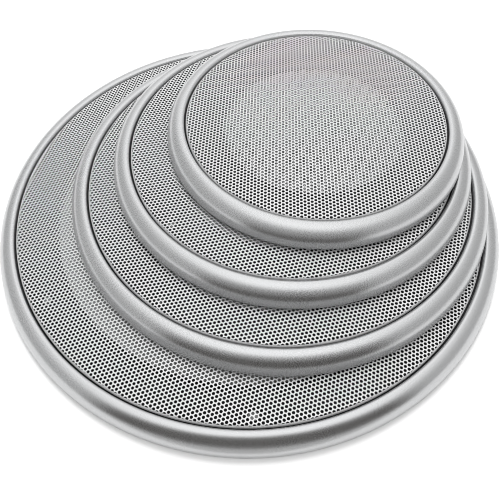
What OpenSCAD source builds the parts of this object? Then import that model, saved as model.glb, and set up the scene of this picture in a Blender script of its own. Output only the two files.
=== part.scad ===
// Nesting set of four round loudspeaker grilles of one design, stacked flat with each
// smaller grille set back and to the right on the one below. Every grille is a black
// mounting ring and a pull-off cover: a half-round silver trim ring, a perforated steel
// sheet and the black carrier that holds the sheet in the ring.
//
// Frame: millimetres, +Z up, origin at the centre of the largest grille's underside.
// Sizes are indexed from the smallest grille, 0, to the largest, 3.

/* [Sizes] */
// Outer diameter of the 4 inch grille
od_4in = 130; // [124:1:136]
// Outer diameter of the 5 inch grille
od_5in = 159; // [152:1:164]
// Outer diameter of the 6.5 inch grille
od_6in = 186; // [180:1:192]
// Outer diameter of the 8 inch grille
od_8in = 224; // [218:1:232]
// Rise from one grille's underside to the next one's in the stack
stack_step = 8.75; // [8.7:0.05:12]

/* [Trim ring] */
// Width of the ring in plan, from the sheet's opening to the outer edge
ring_w = 8; // [7.5:0.1:9]
// Height of the ring's crown above the grille's underside
crown_h = 8.5; // [8.2:0.05:8.5]
// Distance from the opening to the crown, in plan
crown_in = 1.4; // [1.3:0.1:1.6]
// Height of the inner lip, at the opening
lip_h = 7.9; // [7.5:0.1:8]
// Wall thickness of the ring's shell
shell_t = 1.3; // [1:0.1:1.4]

/* [Sheet] */
// Thickness of the perforated sheet
sheet_t = 0.5; // [0.4:0.1:0.8]
// Height of the sheet's top face above the grille's underside
sheet_top = 7.9; // [7.6:0.1:8]
// Gap between the sheet's rolled edge and the trim ring
sheet_gap = 0.7; // [0.5:0.1:0.9]
// Outer radius of the sheet's rolled edge
roll_r = 1.2; // [1:0.1:1.4]
// Distance between neighbouring holes of the coarse perforation
hole_pitch = 8; // [7:0.5:14]
// Diameter of a hole of the coarse perforation
hole_d = 5.6; // [5:0.1:6]

/* [Mounting ring] */
// Thickness of the mounting ring's plate
plate_t = 1.8; // [1.6:0.1:2]
// Width of the plate inside the sheet's opening
plate_in = 17; // [15:0.5:18]
// Distance of the mounting holes inside the sheet's opening
screw_in = 6.5; // [6:0.1:7]
// Diameter of a mounting hole
screw_d = 4.2; // [3.9:0.1:4.5]

/* [Hidden] */

// Per-size values, smallest grille first
od = [od_4in, od_5in, od_6in, od_8in];
// Plan position of each grille's centre
place = [[29.8, 21.7], [19.5, 15.9], [13.7, 6.8], [0, 0]];
// Direction of the perforation's rows
row_turn = [27, 12, 11, 17];
// Mounting holes, and the direction of the first one
screw_n = [4, 4, 4, 6];
screw_turn = [45, 38, 51, 30];
// Screws that fix the carrier to the trim ring, and the direction of the first one
fix_n = [4, 6, 6, 8];
fix_turn = 11;
// Radius of each sheet's opening in the trim ring
open_r = [for (d = od) d / 2 - ring_w];

// Trim ring
skirt_z = 0.4;
skirt_a = ring_w - crown_in;
skirt_b = crown_h - skirt_z;
lip_b = 3;
lip_a = crown_in / sqrt(1 - pow(1 - (crown_h - lip_h) / lip_b, 2));
seat_z = 6;
boss_in = 2.75;
boss_r = 1.25;
boss_top = 7.4;
pilot_r = 0.8;
pilot_top = 7.6;

// Sheet
sheet_foot = 5.6;
hole_margin = 0.8;
sheet_lap = 1;

// Carrier
web_t = 1.4;
web_z = seat_z - web_t;
web_in = 2.4;
web_out = 4.3;
spigot_out = 4.75;
spigot_t = 0.7;
spigot_z = plate_t + 0.1;
spigot_top = 5.4;
fix_hole_r = 1;

// Carrier screws
fix_shank_r = 0.75;
fix_head_r = 1.2;
fix_head_h = 0.9;
fix_tip_z = 7.4;
recess_w = 0.4;
recess_l = 1.4;
recess_h = 0.5;

// Mounting ring
plate_out = 6.3;
rim_in = 4.9;
rim_t = 0.9;
rim_z = 3.8;
bead_t = 1.2;
bead_z = 3.2;
groove_in = 14.5;
groove_w = 4.5;
groove_h = 0.9;
gasket_t = 0.85;

round_fn = 96;
arc_n = 14;
row_h = hole_pitch * sqrt(3) / 2;

// Puts a grille's parts at its place in the stack
module at_size(i) {
    translate([place[i][0], place[i][1], (3 - i) * stack_step]) children();
}

// Ring with a rectangular section
module band(r_in, r_out, z_low, z_high) {
    translate([0, 0, z_low])
        difference() {
            cylinder(r = r_out, h = z_high - z_low, $fn = round_fn);
            translate([0, 0, -1]) cylinder(r = r_in, h = z_high - z_low + 2, $fn = round_fn);
        }
}

// Children repeated evenly round a circle
module around(n, r, first) {
    for (k = [0 : n - 1])
        rotate([0, 0, first + 360 * k / n])
            translate([r, 0, 0]) children();
}

// Points of an elliptical arc, from one angle to another
function arc(cx, cz, a, b, from, to) = [
    for (k = [0 : arc_n])
        let (t = from + (to - from) * k / arc_n)
        [cx + a * cos(t), cz + b * sin(t)]
];

// Section of the trim ring: half-round shell open below, with a short wall down from the lip
function ring_section(r) = let (
    lip_t = acos(-crown_in / lip_a),
    in_a = skirt_a - shell_t,
    in_b = skirt_b - shell_t,
    hollow_in = shell_t
) [
    each arc(r + crown_in, skirt_z, skirt_a, skirt_b, 0, 90),
    each arc(r + crown_in, crown_h - lip_b, lip_a, lip_b, 91, lip_t),
    [r, seat_z],
    [r + hollow_in, seat_z],
    [r + hollow_in, skirt_z + in_b - 0.2],
    each arc(r + crown_in, skirt_z, in_a, in_b, 90, 0)
];

// Section of the sheet's edge: flat, rolled over and turned down
module edge_section(r) {
    inner = r - roll_r - sheet_lap;
    translate([inner, sheet_top - sheet_t]) square([sheet_lap, sheet_t]);
    translate([r - sheet_t, sheet_foot]) square([sheet_t, sheet_top - roll_r - sheet_foot]);
    translate([r - roll_r, sheet_top - roll_r])
        intersection() {
            difference() {
                circle(r = roll_r, $fn = 48);
                circle(r = roll_r - sheet_t, $fn = 48);
            }
            square(roll_r + 1);
        }
}

// Centres of the perforation: close-packed rows that stay inside a radius
function hole_places(r) = [
    for (j = [-ceil(r / row_h) : ceil(r / row_h)])
        let (y = j * row_h, shift = (j % 2 == 0 ? 0 : 0.5))
        for (k = [-ceil(r / hole_pitch) - 1 : ceil(r / hole_pitch)])
            let (x = (k + shift) * hole_pitch)
            if (x * x + y * y <= r * r) [x, y]
];

module base_ring(i) {
    r = open_r[i];
    color("#1c1c1e")
        at_size(i)
            difference() {
                union() {
                    band(r - plate_in, r + plate_out, 0, plate_t);
                    band(r + rim_in, r + rim_in + rim_t, plate_t - 0.2, rim_z);
                    band(r - plate_in, r - plate_in + bead_t, plate_t - 0.2, bead_z);
                }
                around(screw_n[i], r - screw_in, screw_turn[i])
                    translate([0, 0, -1]) cylinder(d = screw_d, h = plate_t + 2, $fn = 32);
                band(r - groove_in, r - groove_in + groove_w, -1, groove_h);
            }
}

module gasket(i) {
    r = open_r[i];
    color("#3a3a3d")
        at_size(i) band(r - groove_in, r - groove_in + groove_w, groove_h - gasket_t, groove_h);
}

module trim_ring(i) {
    r = open_r[i];
    color("#b4b6b9")
        at_size(i)
            difference() {
                union() {
                    rotate_extrude($fn = round_fn) polygon(ring_section(r));
                    around(fix_n[i], r + boss_in, fix_turn)
                        translate([0, 0, seat_z]) cylinder(r = boss_r, h = boss_top - seat_z, $fn = 32);
                }
                around(fix_n[i], r + boss_in, fix_turn)
                    translate([0, 0, seat_z - 1]) cylinder(r = pilot_r, h = pilot_top - seat_z + 1, $fn = 24);
            }
}

module mesh(i) {
    r = open_r[i] - sheet_gap;
    flat_r = r - roll_r;
    color("#d4d6d9")
        at_size(i) {
            translate([0, 0, sheet_top - sheet_t])
                linear_extrude(sheet_t)
                    difference() {
                        circle(r = flat_r, $fn = round_fn);
                        rotate(row_turn[i])
                            for (p = hole_places(flat_r - sheet_lap - hole_margin - hole_d / 2))
                                translate(p) circle(d = hole_d, $fn = 24);
                    }
            rotate_extrude($fn = round_fn) edge_section(r);
        }
}

module mesh_carrier(i) {
    r = open_r[i];
    foot_r = r - sheet_gap;
    color("#232326")
        at_size(i)
            difference() {
                union() {
                    band(r - web_in, r + web_out, web_z, seat_z);
                    band(r + spigot_out - spigot_t, r + spigot_out, spigot_z, spigot_top);
                }
                band(foot_r - sheet_t, foot_r, sheet_foot, seat_z + 1);
                around(fix_n[i], r + boss_in, fix_turn)
                    translate([0, 0, web_z - 1]) cylinder(r = fix_hole_r, h = web_t + 2, $fn = 24);
            }
}

// Pan-head screw, head down, with a cross recess
module carrier_screw() {
    difference() {
        union() {
            translate([0, 0, web_z - fix_head_h]) cylinder(r = fix_head_r, h = fix_head_h, $fn = 32);
            translate([0, 0, web_z - 0.1]) cylinder(r = fix_shank_r, h = fix_tip_z - web_z + 0.1, $fn = 24);
        }
        for (turn = [0, 90])
            rotate([0, 0, turn])
                translate([-recess_l / 2, -recess_w / 2, web_z - fix_head_h - 1])
                    cube([recess_l, recess_w, recess_h + 1]);
    }
}

module carrier_screws(i) {
    color("#8e9196")
        at_size(i) around(fix_n[i], open_r[i] + boss_in, fix_turn) carrier_screw();
}

base_ring(3);  // base_ring_8in
gasket(3);  // gasket_8in
trim_ring(3);  // trim_ring_8in
mesh(3);  // mesh_8in
mesh_carrier(3);  // mesh_carrier_8in
carrier_screws(3);  // carrier_screws_8in
base_ring(2);  // base_ring_6in
gasket(2);  // gasket_6in
trim_ring(2);  // trim_ring_6in
mesh(2);  // mesh_6in
mesh_carrier(2);  // mesh_carrier_6in
carrier_screws(2);  // carrier_screws_6in
base_ring(1);  // base_ring_5in
gasket(1);  // gasket_5in
trim_ring(1);  // trim_ring_5in
mesh(1);  // mesh_5in
mesh_carrier(1);  // mesh_carrier_5in
carrier_screws(1);  // carrier_screws_5in
base_ring(0);  // base_ring_4in
gasket(0);  // gasket_4in
trim_ring(0);  // trim_ring_4in
mesh(0);  // mesh_4in
mesh_carrier(0);  // mesh_carrier_4in
carrier_screws(0);  // carrier_screws_4in
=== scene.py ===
import math

import bmesh
import bpy
import numpy as np
from mathutils import Matrix, Vector


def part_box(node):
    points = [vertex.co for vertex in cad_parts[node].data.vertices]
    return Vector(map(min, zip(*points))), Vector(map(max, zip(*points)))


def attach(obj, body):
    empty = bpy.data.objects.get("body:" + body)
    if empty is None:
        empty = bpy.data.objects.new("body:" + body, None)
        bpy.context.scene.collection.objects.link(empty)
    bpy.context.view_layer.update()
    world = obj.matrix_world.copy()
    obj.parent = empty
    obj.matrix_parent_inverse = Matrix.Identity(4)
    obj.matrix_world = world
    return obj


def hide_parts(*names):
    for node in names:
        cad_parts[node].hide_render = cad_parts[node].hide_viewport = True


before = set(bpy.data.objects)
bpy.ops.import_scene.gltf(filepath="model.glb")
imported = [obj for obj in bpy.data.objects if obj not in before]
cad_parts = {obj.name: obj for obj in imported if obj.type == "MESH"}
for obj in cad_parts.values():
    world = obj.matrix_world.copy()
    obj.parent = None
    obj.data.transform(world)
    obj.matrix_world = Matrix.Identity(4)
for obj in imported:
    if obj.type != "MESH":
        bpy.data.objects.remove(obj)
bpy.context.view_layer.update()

MM = 0.001
SIZES = ["8in", "6in", "5in", "4in"]

# Camera: the point it aims at and its distance, in mm, and its angles in degrees
CAMERA_AIM, CAMERA_DISTANCE = (0.262, -25.631, 0), 221.27
CAMERA_EL, CAMERA_ROLL = 57.418, -1.2647
CAMERA_LENS, CAMERA_SENSOR = 36.11, 36.0

# Studio: the sky's strength, and the lamp's power, width, distance and elevation
STUDIO_LEVEL = 1.75
KEY_W, KEY_SIZE, KEY_FAR, KEY_EL = 12.5, 0.5, 1.6, 62
# The sky's brightness against the sine of the elevation, round the sides and behind
SKY_AROUND = [(0.0, 0.34), (0.5, 0.36), (0.71, 0.42), (0.82, 0.55), (0.91, 0.74),
              (0.97, 0.88), (1.0, 0.95)]
SKY_BEHIND = [(0.0, 0.45), (0.26, 0.52), (0.42, 0.64), (0.57, 0.75), (0.71, 0.81),
              (0.82, 0.83), (0.91, 0.87), (1.0, 0.93)]
PIXEL_FILTER = 0.9

# Gauze in front: half its width, where its sides start to clear, its place and its height,
# in metres, and how clear it is against its height
FLAG_X, FLAG_SIDE, FLAG_Y, FLAG_TOP = 0.118, 0.06, -0.118, 0.3
FLAG_CLEAR = [(0.0, 0.6), (0.02, 0.5), (0.027, 0.3), (0.035, 0.12), (0.06, 0.06), (0.12, 0.11),
              (0.17, 0.4), (0.25, 0.6), (0.36, 0.78), (0.46, 0.95), (0.6, 1.0)]

# Floor: half its width, and the radii between which it turns from grey to pale, in metres; the
# grey under the set is a colour that stands in for shade
FLOOR_HALF, FLOOR_SHADE_R, FLOOR_PALE_R = 6.0, 0.1, 0.1095
# Level of the grey that stands in for shade under the set, and of the pale floor
FLOOR_SHADE, FLOOR_PALE = 0.42, 0.88

# Section of a grille, in mm: distances outward from the sheet's opening, and heights
# above the grille's underside, as in the CAD part
RING_W = 8.0
CROWN_IN, CROWN_H, LIP_H, LIP_B = 1.4, 8.5, 7.9, 3.0
SHELL_T, SKIRT_Z, SEAT_Z = 1.3, 0.4, 6.0
SHEET_T, SHEET_TOP, SHEET_GAP, ROLL_R, SHEET_FOOT = 0.5, 7.9, 0.7, 1.2, 5.6
PLATE_IN, PLATE_OUT, PLATE_T = 17.0, 6.3, 1.8
RIM_IN, RIM_OUT, RIM_H = 4.9, 5.8, 3.8
BEAD_W, BEAD_H = 1.2, 3.2
MOUNT_IN, MOUNT_R = 6.5, 2.1
WEB_IN, WEB_OUT, WEB_T = 2.4, 4.3, 1.4
SPIGOT_OUT, SPIGOT_T, SPIGOT_Z, SPIGOT_TOP = 4.75, 0.7, 1.9, 5.4
BOSS_IN, BOSS_R, BOSS_TOP, BOSS_ROOF, PILOT_R = 2.75, 1.25, 7.4, 0.4, 0.8
GROOVE_IN, GROOVE_W, GROOVE_H, GASKET_T, GASKET_ROUND = 14.5, 4.5, 0.9, 0.85, 0.35

# Carrier screws: the pan head's radii and depths under the web, the shank, its thread's
# pitch, the half sizes and depth range of the cross recess, and the clearance hole
SCREW_HEAD = [(0, 0.9), (0.7, 0.9), (1.0, 0.78), (1.17, 0.5), (1.2, 0.25), (1.2, 0), (0.72, 0)]
THREAD_R, CORE_R, THREAD_PITCH, SCREW_TIP = 0.75, 0.6, 0.42, 7.4
CROSS_LONG, CROSS_WIDE, CROSS_LOW, CROSS_HIGH = 0.7, 0.2, 1.5, 0.4
CLEAR_R = 1.0

# Fine perforation: distance between holes, the radius of a hole's corners, how far past the
# flat the holes go, the margin of holes kept beyond that, and the turn of the rows
PITCH, HOLE_R, HOLES_PAST, HOLES_MARGIN = 1.6, 0.67, 1.0, 1.3
ROW_TURN = {"8in": 17, "6in": 11, "5in": 12, "4in": 27}
# Plain foot of the sheet: how far it stands proud on each side, and the points along it
FOOT_PROUD, FOOT_POINTS = 0.02, 12

# Number and first angle of the carrier screws and of the mounting holes
FIX_N = {"8in": 8, "6in": 6, "5in": 6, "4in": 4}
FIX_TURN = 11
MOUNT_N = {"8in": 6, "6in": 4, "5in": 4, "4in": 4}
MOUNT_TURN = {"8in": 30, "6in": 51, "5in": 38, "4in": 45}

# Steps round a turned section, and the angles in degrees from which edges look sharp
STEPS = 288
SHARP, SHARP_RING, SHARP_SHEET, SHARP_FOAM = 32, 40, 35, 50


def add_object(name, data):
    obj = bpy.data.objects.new(name, data)
    bpy.context.scene.collection.objects.link(obj)
    return obj


# ---------------------------------------------------------------- node trees

class Nodes:
    """A small writer for node trees."""

    def __init__(self, tree):
        self.tree = tree
        tree.nodes.clear()

    def add(self, kind, settings=None, **inputs):
        node = self.tree.nodes.new(kind)
        for name, value in (settings or {}).items():
            setattr(node, name, value)
        for name, value in inputs.items():
            self.put(node, name.replace("_", " "), value)
        return node

    def put(self, node, name, value):
        socket = node.inputs[int(name)] if name.isdigit() else node.inputs[name]
        if isinstance(value, bpy.types.NodeSocket):
            self.tree.links.new(value, socket)
        else:
            socket.default_value = value

    def math(self, operation, *values):
        node = self.tree.nodes.new("ShaderNodeMath")
        node.operation = operation
        for i, value in enumerate(values):
            self.put(node, str(i), value)
        return node.outputs[0]

    def line(self, value, slope, start):
        return self.math("ADD", self.math("MULTIPLY", value, slope), start)

    def remap(self, value, low, high):
        """A smooth step from 0 at low to 1 at high."""
        node = self.tree.nodes.new("ShaderNodeMapRange")
        node.interpolation_type = "SMOOTHSTEP"
        for name, v in [("Value", value), ("From Min", low), ("From Max", high),
                        ("To Min", 0.0), ("To Max", 1.0)]:
            self.put(node, name, v)
        return node.outputs[0]

    def ramp(self, value, stops):
        """A curve through (place, level) stops, both from 0 to 1."""
        node = self.add("ShaderNodeValToRGB", Fac=value)
        elements = node.color_ramp.elements
        while len(elements) < len(stops):
            elements.new(0.5)
        for element, (place, level) in zip(elements, stops):
            element.position = place
            element.color = (level, level, level, 1)
        return node.outputs["Color"]

    def mix(self, factor, a, b):
        node = self.tree.nodes.new("ShaderNodeMix")
        node.data_type = "RGBA"
        self.tree.links.new(factor, node.inputs[0])
        for i, value in ((6, a), (7, b)):
            self.put(node, str(i), value)
        return node.outputs[2]

    def mix_shaders(self, factor, a, b):
        node = self.add("ShaderNodeMixShader")
        self.tree.links.new(factor, node.inputs[0])
        self.tree.links.new(a.outputs[0], node.inputs[1])
        self.tree.links.new(b.outputs[0], node.inputs[2])
        return node

    def place(self, kind="Object"):
        return self.add("ShaderNodeTexCoord").outputs[kind]

    def noise(self, scale, detail=2.0, rough=0.5, stretch=None):
        coord = self.place()
        if stretch:
            coord = self.add("ShaderNodeMapping", Vector=coord, Scale=stretch).outputs[0]
        return self.add("ShaderNodeTexNoise", Vector=coord, Scale=scale, Detail=detail,
                        Roughness=rough).outputs["Fac"]


def grey(level):
    return (level, level, level, 1)


# ---------------------------------------------------------------- camera and studio

def camera():
    """Camera at the photograph's viewing angle: close, wide and looking steeply down."""
    elevation, roll = math.radians(CAMERA_EL), math.radians(CAMERA_ROLL)
    aim, distance = Vector(CAMERA_AIM) * MM, CAMERA_DISTANCE * MM
    forward = Vector((0, math.cos(elevation), -math.sin(elevation)))
    right, up = Vector((1, 0, 0)), Vector((0, math.sin(elevation), math.cos(elevation)))
    x = right * math.cos(roll) + up * math.sin(roll)
    y = -right * math.sin(roll) + up * math.cos(roll)
    data = bpy.data.cameras.new("camera")
    data.lens, data.sensor_width = CAMERA_LENS, CAMERA_SENSOR
    data.clip_start, data.clip_end = 0.005, 50
    cam = add_object("camera", data)
    rotation = Matrix((x, y, -forward)).transposed().to_4x4()
    cam.matrix_world = Matrix.Translation(aim - forward * distance) @ rotation
    bpy.context.scene.camera = cam


def studio():
    """Soft studio: brightest overhead, bright behind, dimmer round the sides."""
    world = bpy.data.worlds.new("studio")
    world.use_nodes = True
    bpy.context.scene.world = world
    n = Nodes(world.node_tree)
    xyz = n.add("ShaderNodeSeparateXYZ", Vector=n.place("Generated"))
    z = xyz.outputs["Z"]
    across = n.math("SUBTRACT", 1.0, n.math("MULTIPLY", z, z))
    across = n.math("SQRT", n.math("MAXIMUM", across, 0.0001))
    behind = n.remap(n.math("DIVIDE", xyz.outputs["Y"], across), 0.6, 1.0)
    level = n.mix(behind, n.ramp(z, SKY_AROUND), n.ramp(z, SKY_BEHIND))
    soft = n.add("ShaderNodeBackground", Color=level, Strength=STUDIO_LEVEL)
    plain = n.add("ShaderNodeBackground", Color=grey(1), Strength=1.0)
    seen = n.add("ShaderNodeLightPath").outputs["Is Camera Ray"]
    both = n.mix_shaders(seen, soft, plain)
    n.add("ShaderNodeOutputWorld", Surface=both.outputs[0])

    # A wide lamp from behind whitens the floor and draws the short shadow in front. The
    # metal doesn't mirror it.
    key = bpy.data.lights.new("key", "AREA")
    key.shape, key.size, key.energy = "DISK", KEY_SIZE, KEY_W
    lamp = add_object("key", key)
    elevation = math.radians(KEY_EL)
    lamp.location = Vector((0, math.cos(elevation), math.sin(elevation))) * KEY_FAR
    lamp.rotation_euler = (-lamp.location).to_track_quat("-Z", "Y").to_euler()
    lamp.visible_glossy = lamp.visible_camera = False

    bpy.context.scene.cycles.filter_width = PIXEL_FILTER
    view = bpy.context.scene.view_settings
    view.view_transform, view.look, view.exposure, view.gamma = "Standard", "None", 0.0, 1.0


def staged(name, corners, material_name):
    """One flat quad that isn't part of the object, with an empty material."""
    mesh = bpy.data.meshes.new(name)
    mesh.from_pydata(corners, [], [(0, 1, 2, 3)])
    obj = add_object(name, mesh)
    mat = bpy.data.materials.new(material_name)
    mat.use_nodes = True
    mesh.materials.append(mat)
    return obj, Nodes(mat.node_tree)


def flag():
    """Black gauze in front of the set, thick below and thin above, which only reflections see."""
    x, y, top = FLAG_X, FLAG_Y, FLAG_TOP
    corners = [(-x, y, 0), (x, y, 0), (x, y, top), (-x, y, top)]
    obj, n = staged("flag", corners, "black_gauze")
    xyz = n.add("ShaderNodeSeparateXYZ", Vector=n.place())
    clear = n.ramp(n.math("DIVIDE", xyz.outputs["Z"], top), FLAG_CLEAR)
    side = n.remap(n.math("ABSOLUTE", xyz.outputs["X"]), FLAG_SIDE, x)
    dark = n.add("ShaderNodeEmission", Color=(1.0, 0.8, 0.65, 1), Strength=0.035)
    gauze = n.add("ShaderNodeBsdfTransparent")
    both = n.mix_shaders(n.math("MAXIMUM", clear, side), dark, gauze)
    n.add("ShaderNodeOutputMaterial", Surface=both.outputs[0])
    obj.visible_camera = obj.visible_diffuse = obj.visible_shadow = False
    obj.visible_transmission = obj.visible_volume_scatter = False


def floor():
    """Pale floor, a shade greyer under the set, where it shows only through the perforation: that
    grey stands in for the shade beneath the sheets.
    """
    r = FLOOR_HALF
    corners = [(-r, -r, 0), (r, -r, 0), (r, r, 0), (-r, r, 0)]
    _, n = staged("floor", corners, "studio_floor")
    far = n.add("ShaderNodeVectorMath", {"operation": "LENGTH"})
    n.put(far, "0", n.place())
    # Grey under the set in place of the shade there, pale beyond
    pale = n.remap(far.outputs["Value"], FLOOR_SHADE_R, FLOOR_PALE_R)
    colour = n.mix(pale, grey(FLOOR_SHADE), grey(FLOOR_PALE))
    bsdf = n.add("ShaderNodeBsdfPrincipled", Base_Color=colour, Roughness=0.8,
                 Specular_IOR_Level=0.0)
    n.add("ShaderNodeOutputMaterial", Surface=bsdf.outputs[0])


# ---------------------------------------------------------------- materials

def material(name, **settings):
    mat = bpy.data.materials.new(name)
    mat.use_nodes = True
    n = Nodes(mat.node_tree)
    bsdf = n.add("ShaderNodeBsdfPrincipled", **settings)
    n.add("ShaderNodeOutputMaterial", Surface=bsdf.outputs[0])
    return mat, n, bsdf


def bump(n, bsdf, height, strength, distance):
    node = n.add("ShaderNodeBump", Strength=strength, Distance=distance, Height=height)
    n.put(bsdf, "Normal", node.outputs[0])


def silver_trim():
    """Silver metallic coat with fine metal flake over moulded plastic."""
    mat, n, bsdf = material("silver_trim", Metallic=0.92)
    flake = n.noise(5200, detail=1.0)
    cloud = n.noise(60, detail=3.0)
    n.put(bsdf, "Base Color", n.mix(n.remap(flake, 0.3, 0.72),
                                    (0.525, 0.53, 0.535, 1), (0.565, 0.57, 0.575, 1)))
    rough = n.math("ADD", n.math("MULTIPLY", cloud, 0.05), n.math("MULTIPLY", flake, 0.06))
    n.put(bsdf, "Roughness", n.math("ADD", rough, 0.22))
    bump(n, bsdf, flake, 0.03, 0.00003)
    return mat


def silver_sheet():
    """Steel with a silver coat and a faint orange peel. The back and the holes' walls take a dark
    colour where the point attribute read here is below 1: a colour that stands in for the shade
    in the holes and under the sheet."""
    mat, n, bsdf = material("silver_sheet", Metallic=0.35)
    grain = n.noise(3600)
    cloud = n.noise(35)
    colour = n.mix(n.remap(grain, 0.3, 0.7), (0.66, 0.662, 0.665, 1), (0.74, 0.742, 0.745, 1))
    # Where this attribute falls below 1, on the back and the holes' walls, the colour turns dark
    # and stands in for shade
    unshaded = n.add("ShaderNodeAttribute", {"attribute_name": "unshaded_mask"}).outputs["Fac"]
    n.put(bsdf, "Base Color", n.mix(unshaded, (0.14, 0.14, 0.142, 1), colour))
    n.put(bsdf, "Roughness", n.line(cloud, 0.08, 0.34))
    bump(n, bsdf, grain, 0.1, 0.00003)
    return mat


def black_plastic():
    """Moulded black ABS with a fine spark-eroded texture and faint wear."""
    mat, n, bsdf = material("black_plastic", Specular_IOR_Level=0.2)
    fine = n.noise(2600, detail=3.0, rough=0.6)
    cloud = n.noise(90, detail=4.0)
    n.put(bsdf, "Base Color", n.mix(n.remap(cloud, 0.35, 0.7),
                                    (0.009, 0.009, 0.01, 1), (0.016, 0.016, 0.017, 1)))
    n.put(bsdf, "Roughness", n.line(fine, 0.25, 0.4))
    bump(n, bsdf, fine, 0.3, 0.00005)
    return mat


def grey_foam():
    """Open-cell foam strip."""
    mat, n, bsdf = material("grey_foam", Specular_IOR_Level=0.1, Sheen_Weight=0.1,
                            Sheen_Roughness=0.5)
    cells = n.add("ShaderNodeTexVoronoi", Vector=n.place(), Scale=1800).outputs["Distance"]
    n.put(bsdf, "Base Color", n.mix(n.remap(cells, 0.1, 0.6),
                                    (0.012, 0.012, 0.013, 1), (0.05, 0.05, 0.053, 1)))
    n.put(bsdf, "Roughness", n.line(n.noise(800), 0.1, 0.85))
    bump(n, bsdf, cells, 0.8, 0.0002)
    return mat


def plated_steel():
    """Zinc-plated screw steel with turning marks."""
    mat, n, bsdf = material("plated_steel", Metallic=1.0)
    marks = n.noise(900, stretch=(1.0, 1.0, 9.0))
    n.put(bsdf, "Base Color", n.mix(n.remap(marks, 0.3, 0.7),
                                    (0.42, 0.43, 0.44, 1), (0.6, 0.6, 0.6, 1)))
    n.put(bsdf, "Roughness", n.line(marks, 0.15, 0.22))
    bump(n, bsdf, marks, 0.2, 0.00003)
    return mat


# ---------------------------------------------------------------- shapes

def arc(cx, cz, a, b, start, end, count):
    """Points of an elliptical arc, from one angle to another, in degrees."""
    t = np.radians(np.linspace(start, end, count + 1))
    return list(zip(cx + a * np.cos(t), cz + b * np.sin(t)))


def revolve(profile, centre):
    """Vertices and faces of a closed section turned about a grille's axis."""
    section = np.array(profile)
    turn = np.linspace(0, 2 * np.pi, STEPS, endpoint=False)
    count = len(section)
    verts = np.zeros((STEPS, count, 3))
    verts[..., 0] = centre[0] + np.outer(np.cos(turn), section[:, 0])
    verts[..., 1] = centre[1] + np.outer(np.sin(turn), section[:, 0])
    verts[..., 2] = centre[2] + section[:, 1]
    i, j = np.meshgrid(np.arange(STEPS), np.arange(count), indexing="ij")
    i2, j2 = (i + 1) % STEPS, (j + 1) % count
    corners = [i * count + j, i2 * count + j, i2 * count + j2, i * count + j2]
    return verts.reshape(-1, 3), np.stack(corners, -1).reshape(-1, 4)


def tube(x, y, profile, steps=24):
    """A small closed form turned about a vertical axis at x, y. Its section starts and ends
    on the axis."""
    section = np.array(profile)
    turn = np.linspace(0, 2 * np.pi, steps, endpoint=False)
    count = len(section)
    verts = [(x, y, section[0, 1])]
    for r, z in section[1:-1]:
        verts += [(x + r * math.cos(t), y + r * math.sin(t), z) for t in turn]
    verts.append((x, y, section[-1, 1]))
    faces = []
    last = len(verts) - 1
    for k in range(steps):
        k2 = (k + 1) % steps
        faces.append((0, 1 + k2, 1 + k))
        for j in range(count - 3):
            a, b = 1 + j * steps, 1 + (j + 1) * steps
            faces.append((a + k, a + k2, b + k2, b + k))
        a = 1 + (count - 3) * steps
        faces.append((a + k, a + k2, last))
    return np.array(verts), faces


def shade(mesh, sharp):
    """Smooth shading, with sharp edges where faces meet at more than this angle."""
    mesh.polygons.foreach_set("use_smooth", [True] * len(mesh.polygons))
    if sharp:
        mesh.set_sharp_from_angle(angle=math.radians(sharp))


def piece(name, parts, mat, sharp=SHARP):
    """A mesh object from several closed (vertices, faces) pairs, in mm."""
    verts, faces, first = [], [], 0
    for v, f in parts:
        verts.append(np.asarray(v, float))
        faces += [tuple(int(k) + first for k in face) for face in f]
        first += len(v)
    mesh = bpy.data.meshes.new(name)
    mesh.from_pydata((np.concatenate(verts) * MM).tolist(), [], faces)
    mesh.materials.append(mat)
    bm = bmesh.new()
    bm.from_mesh(mesh)
    bmesh.ops.recalc_face_normals(bm, faces=bm.faces)
    bm.to_mesh(mesh)
    bm.free()
    shade(mesh, sharp)
    mesh.update()
    return add_object(name, mesh)


def mesh_piece(name, verts, quads, triangles, unshaded, mat):
    """A mesh object straight from arrays, in mm, with a value per point: 1 on the sheet's face, 0
    where its colour stands in for shade.
    """
    mesh = bpy.data.meshes.new(name)
    mesh.vertices.add(len(verts))
    mesh.vertices.foreach_set("co", (verts * MM).astype(np.float32).ravel())
    loops = np.concatenate([quads.ravel(), triangles.ravel()]).astype(np.int32)
    mesh.loops.add(len(loops))
    mesh.loops.foreach_set("vertex_index", loops)
    starts = np.concatenate([np.arange(len(quads)) * 4,
                             len(quads) * 4 + np.arange(len(triangles)) * 3])
    mesh.polygons.add(len(starts))
    mesh.polygons.foreach_set("loop_start", starts.astype(np.int32))
    mesh.update(calc_edges=True)
    mesh.validate()
    # This per-point value darkens the sheet's back and the holes' walls in their material,
    # standing in for shade
    unshaded_mask = mesh.attributes.new("unshaded_mask", "FLOAT", "POINT")
    unshaded_mask.data.foreach_set("value", unshaded.astype(np.float32))
    mesh.materials.append(mat)
    shade(mesh, SHARP_SHEET)
    return add_object(name, mesh)


def finish_mesh(obj, cutters, bevel=0.0):
    """Cuts holes, rounds the sharp edges, and leaves a plain mesh."""
    for cutter in cutters:
        modifier = obj.modifiers.new("cut", "BOOLEAN")
        modifier.object, modifier.operation, modifier.solver = cutter, "DIFFERENCE", "EXACT"
    if bevel:
        modifier = obj.modifiers.new("round", "BEVEL")
        modifier.width, modifier.segments, modifier.limit_method = bevel * MM, 2, "ANGLE"
        modifier.angle_limit = math.radians(40)
    bpy.context.view_layer.update()
    shown = obj.evaluated_get(bpy.context.evaluated_depsgraph_get())
    mesh = bpy.data.meshes.new_from_object(shown)
    obj.modifiers.clear()
    obj.data = mesh
    shade(mesh, SHARP)
    for cutter in cutters:
        bpy.data.objects.remove(cutter)
    return obj


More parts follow.
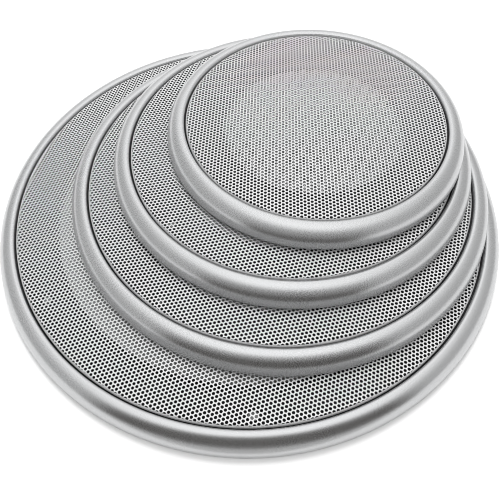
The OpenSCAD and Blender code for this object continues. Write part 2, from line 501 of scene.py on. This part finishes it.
def around(count, radius, first, centre):
    """Evenly spaced points on a circle, from the first one's angle in degrees."""
    for k in range(count):
        t = math.radians(first + 360 * k / count)
        yield centre[0] + radius * math.cos(t), centre[1] + radius * math.sin(t)


def fixings(size, r, centre):
    """Where a grille's carrier screws are."""
    return around(FIX_N[size], r + BOSS_IN, FIX_TURN, centre)


def drill(x, y, radius, high, depth, mat, steps=24):
    """A round cutter, from its top down."""
    section = [(0, high), (radius, high), (radius, high - depth), (0, high - depth)]
    return piece("cutter", [tube(x, y, section, steps)], mat, 0)


# ---------------------------------------------------------------- pieces

def trim_ring(size, r, centre, mat):
    """Half-round silver ring: a shell open below, with bosses for the carrier's screws."""
    skirt_a, skirt_b = RING_W - CROWN_IN, CROWN_H - SKIRT_Z
    # The inner arc ends just short of the opening, where a small round takes over.
    lip_a = CROWN_IN / math.sqrt(1 - (1 - (CROWN_H - LIP_H) / LIP_B) ** 2)
    lip_end = math.degrees(math.acos(-CROWN_IN / lip_a)) - 2.5
    section = arc(r + CROWN_IN, SKIRT_Z, skirt_a, skirt_b, 3, 90, 30)
    section += arc(r + CROWN_IN, CROWN_H - LIP_B, lip_a, LIP_B, 90, lip_end, 12)[1:]
    section += [(r + 0.04, LIP_H - 0.05), (r, LIP_H - 0.17), (r, SEAT_Z),
                (r + SHELL_T, SEAT_Z), (r + SHELL_T, SKIRT_Z + skirt_b - SHELL_T - 0.2)]
    section += arc(r + CROWN_IN, SKIRT_Z, skirt_a - SHELL_T, skirt_b - SHELL_T, 90, 0, 20)
    # A small round at the skirt's foot
    section += [(r + RING_W - 0.1, SKIRT_Z), (r + RING_W - 0.01, SKIRT_Z + 0.12)]
    parts = [revolve(section, centre)]
    low, high = centre[2] + SEAT_Z, centre[2] + BOSS_TOP
    for x, y in fixings(size, r, centre):
        parts.append(tube(x, y, [(0, high), (BOSS_R, high), (BOSS_R, low), (PILOT_R, low),
                                 (PILOT_R, high - BOSS_ROOF), (0, high - BOSS_ROOF)]))
    return piece("silver_ring_" + size, parts, mat, SHARP_RING)


def neighbours(number, offsets):
    """For every hole whose neighbours at these offsets exist too: the holes' numbers."""
    size = number.shape[0]
    pad = 2
    wide = np.full((size + 2 * pad, size + 2 * pad), -1)
    wide[pad:-pad, pad:-pad] = number
    found = [wide[pad + di:pad + di + size, pad + dj:pad + dj + size] for di, dj in offsets]
    ok = np.all([f >= 0 for f in found], axis=0)
    return [f[ok] for f in found]


def honeycomb(reach_r):
    """A flat sheet of close-packed six-sided holes about the origin: the holes' corners, six
    each, and the quads and triangles of metal between them."""
    step = np.array([[PITCH, 0], [PITCH / 2, PITCH * math.sqrt(3) / 2]])
    # The rows are slanted, so the grid is a fifth larger than the circle that it fills.
    reach = int(reach_r / PITCH * 1.2) + 4
    line = np.arange(-reach, reach + 1)
    i, j = np.meshgrid(line, line, indexing="ij")
    spot = i[..., None] * step[0] + j[..., None] * step[1]
    used = np.hypot(spot[..., 0], spot[..., 1]) <= reach_r + HOLES_MARGIN
    number = np.full(used.shape, -1)
    number[used] = np.arange(used.sum())
    corner = np.radians(30 + 60 * np.arange(6))
    ring = HOLE_R * np.stack([np.cos(corner), np.sin(corner)], -1)
    points = (spot[used][:, None, :] + ring).reshape(-1, 2)
    # A hole's corner k lies at 30 + 60 k degrees. Its neighbours at 0, 60 and 120 degrees
    # share a quad with it, and two of them at a time a triangle.
    quads = []
    for m, offset in enumerate([(1, 0), (0, 1), (-1, 1)]):
        here, there = neighbours(number, [(0, 0), offset])
        quads.append(np.stack([here * 6 + (m - 1) % 6, there * 6 + (m + 3) % 6,
                               there * 6 + (m + 2) % 6, here * 6 + m], -1))
    triangles = []
    for offsets, corners in [([(1, 0), (0, 1)], (0, 2, 4)), ([(0, 1), (-1, 1)], (1, 3, 5))]:
        holes = neighbours(number, [(0, 0)] + offsets)
        triangles.append(np.stack([hole * 6 + k for hole, k in zip(holes, corners)], -1))
    return points, np.concatenate(quads), np.concatenate(triangles)


def hole_walls(quads, triangles, total):
    """Quads that stand on every edge that only one top face has. The back's points follow
    the top's, which number total."""
    edges = np.concatenate([quads[:, [k, (k + 1) % 4]] for k in range(4)]
                           + [triangles[:, [k, (k + 1) % 3]] for k in range(3)])
    key = edges[:, 0] * total + edges[:, 1]
    other_way = edges[:, 1] * total + edges[:, 0]
    rim = edges[~np.isin(key, other_way)]
    return np.stack([rim[:, 1], rim[:, 0], rim[:, 0] + total, rim[:, 1] + total], -1)


def edge_point(s, flat_r, depth):
    """Radius and height of points at a distance s along the sheet and a depth under its face."""
    over = np.clip((s - flat_r) / ROLL_R, 0, np.pi / 2)
    down = np.clip(s - flat_r - ROLL_R * np.pi / 2, 0, None)
    radius = np.minimum(s, flat_r) + (ROLL_R - depth) * np.sin(over)
    height = SHEET_TOP - ROLL_R + (ROLL_R - depth) * np.cos(over) - down
    return radius, height


def sheet(size, r, centre, mat):
    """Perforated sheet: close-packed holes right onto the rolled edge, and a plain
    turned-down foot."""
    flat_r = r - SHEET_GAP - ROLL_R
    band = flat_r + HOLES_PAST
    flat, quads, triangles = honeycomb(band)
    total = len(flat)
    walls = hole_walls(quads, triangles, total)
    s = np.hypot(flat[:, 0], flat[:, 1])
    angle = np.arctan2(flat[:, 1], flat[:, 0]) + math.radians(ROW_TURN[size])
    layers = []
    for depth in (0.0, SHEET_T):
        radius, height = edge_point(s, flat_r, depth)
        layers.append(np.stack([centre[0] + radius * np.cos(angle),
                                centre[1] + radius * np.sin(angle), centre[2] + height], -1))
    # The foot is a little thicker than the sheet, so that it covers the holes' ragged border.
    last = flat_r + ROLL_R * math.pi / 2 + SHEET_TOP - ROLL_R - SHEET_FOOT
    line = np.linspace(band, last, FOOT_POINTS)
    outside = list(zip(*edge_point(line, flat_r, -FOOT_PROUD)))
    inside = list(zip(*edge_point(line, flat_r, SHEET_T + FOOT_PROUD)))
    foot_verts, foot = revolve(outside + inside[::-1], centre)
    foot = foot[:, ::-1] + 2 * total
    verts = np.concatenate(layers + [foot_verts])
    quads = np.concatenate([quads, quads[:, ::-1] + total, walls, foot])
    triangles = np.concatenate([triangles, triangles[:, ::-1] + total])
    # The back's points get 0, so the back and the holes' walls take a dark colour that stands in
    # for the shade there
    unshaded = np.ones(len(verts))
    unshaded[total:2 * total] = 0
    # Holes at the border leave points that no face uses.
    kept = np.unique(np.concatenate([quads.ravel(), triangles.ravel()]))
    new = np.zeros(len(verts), int)
    new[kept] = np.arange(len(kept))
    return mesh_piece("perforated_sheet_" + size, verts[kept], new[quads], new[triangles],
                      unshaded[kept], mat)


def carrier(size, r, centre, mat):
    """Black ring that holds the sheet's foot, with a spigot that fits round the mounting
    ring's rim."""
    foot = r - SHEET_GAP
    low = SEAT_Z - WEB_T
    spigot = r + SPIGOT_OUT
    section = [(r - WEB_IN, low), (spigot - SPIGOT_T, low), (spigot - SPIGOT_T, SPIGOT_Z),
               (spigot, SPIGOT_Z), (spigot, SPIGOT_TOP), (r + WEB_OUT, SPIGOT_TOP),
               (r + WEB_OUT, SEAT_Z), (foot, SEAT_Z), (foot, SHEET_FOOT),
               (foot - SHEET_T, SHEET_FOOT), (foot - SHEET_T, SEAT_Z), (r - WEB_IN, SEAT_Z)]
    obj = piece("black_carrier_" + size, [revolve(section, centre)], mat)
    high = centre[2] + SEAT_Z + 0.5
    cutters = [drill(x, y, CLEAR_R, high, 2.5, mat) for x, y in fixings(size, r, centre)]
    return finish_mesh(obj, cutters, bevel=0.15)


def mounting_ring(size, r, centre, mat):
    """Black mounting ring: a flat plate with screw holes, a rim for the cover and a bead
    round the opening."""
    inner, groove = r - PLATE_IN, r - GROOVE_IN
    section = [(inner, 0), (groove, 0), (groove, GROOVE_H), (groove + GROOVE_W, GROOVE_H),
               (groove + GROOVE_W, 0), (r + PLATE_OUT, 0), (r + PLATE_OUT, PLATE_T),
               (r + RIM_OUT, PLATE_T), (r + RIM_OUT, RIM_H), (r + RIM_IN, RIM_H),
               (r + RIM_IN, PLATE_T), (inner + BEAD_W, PLATE_T), (inner + BEAD_W, BEAD_H),
               (inner, BEAD_H)]
    obj = piece("black_mounting_ring_" + size, [revolve(section, centre)], mat)
    high = centre[2] + PLATE_T + 1
    cutters = [drill(x, y, MOUNT_R, high, 4, mat, steps=48)
               for x, y in around(MOUNT_N[size], r - MOUNT_IN, MOUNT_TURN[size], centre)]
    return finish_mesh(obj, cutters, bevel=0.2)


def foam_strip(size, r, centre, mat):
    """Foam strip in the mounting ring's groove, with softly rounded edges."""
    low, high, soft = GROOVE_H - GASKET_T, GROOVE_H, GASKET_ROUND
    a, b = r - GROOVE_IN, r - GROOVE_IN + GROOVE_W
    section = [(a, high)] + arc(a + soft, low + soft, soft, soft, 180, 270, 5)
    section += arc(b - soft, low + soft, soft, soft, 270, 360, 5) + [(b, high)]
    return piece("foam_strip_" + size, [revolve(section, centre)], mat, SHARP_FOAM)


def screws(size, r, centre, mat):
    """Small pan-head screws, heads down, with a cross recess and a threaded shank."""
    web, tip = centre[2] + SEAT_Z - WEB_T, centre[2] + SCREW_TIP
    section = [(radius, web - depth) for radius, depth in SCREW_HEAD]
    z = web + 0.1
    while z + 0.45 < tip - 0.3:
        section += [(THREAD_R, z), (CORE_R, z + 0.2), (THREAD_R, z + 0.4)]
        z += THREAD_PITCH
    section += [(CORE_R, tip - 0.25), (0.25, tip), (0, tip)]
    spots = list(fixings(size, r, centre))
    obj = piece("small_screws_" + size, [tube(x, y, section, 28) for x, y in spots], mat)
    sides = [(0, 3, 2, 1), (4, 5, 6, 7), (0, 1, 5, 4), (1, 2, 6, 5), (2, 3, 7, 6), (3, 0, 4, 7)]
    cutters = []
    for x, y in spots:
        for across, along in ((CROSS_LONG, CROSS_WIDE), (CROSS_WIDE, CROSS_LONG)):
            box = [(x + sx * across, y + sy * along, z)
                   for z in (web - CROSS_LOW, web - CROSS_HIGH)
                   for sx, sy in ((-1, -1), (1, -1), (1, 1), (-1, 1))]
            cutters.append(piece("cutter", [(box, sides)], mat, 0))
    return finish_mesh(obj, cutters)


# ---------------------------------------------------------------- assembly

camera()
studio()
flag()
floor()
looks = {"silver_trim": silver_trim(), "silver_mesh": silver_sheet(),
         "black_abs": black_plastic(), "foam": grey_foam(), "screw_steel": plated_steel()}

# What makes a piece, the CAD node that it replaces, its material slot and its body
MADE = [(trim_ring, "trim_ring", "silver_trim", "cover"),
        (sheet, "mesh", "silver_mesh", "cover"),
        (carrier, "mesh_carrier", "black_abs", "cover"),
        (screws, "carrier_screws", "screw_steel", "cover"),
        (mounting_ring, "base_ring", "black_abs", "mount"),
        (foam_strip, "gasket", "foam", "mount")]

for size in SIZES:
    low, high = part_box("trim_ring_" + size)
    centre = ((low.x + high.x) / 2 / MM, (low.y + high.y) / 2 / MM,
              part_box("base_ring_" + size)[0].z / MM)
    r = (high.x - low.x) / 2 / MM - RING_W
    for make, node, slot, body in MADE:
        obj = make(size, r, centre, looks[slot])
        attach(obj, body + "_" + size)
        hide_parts(node + "_" + size)
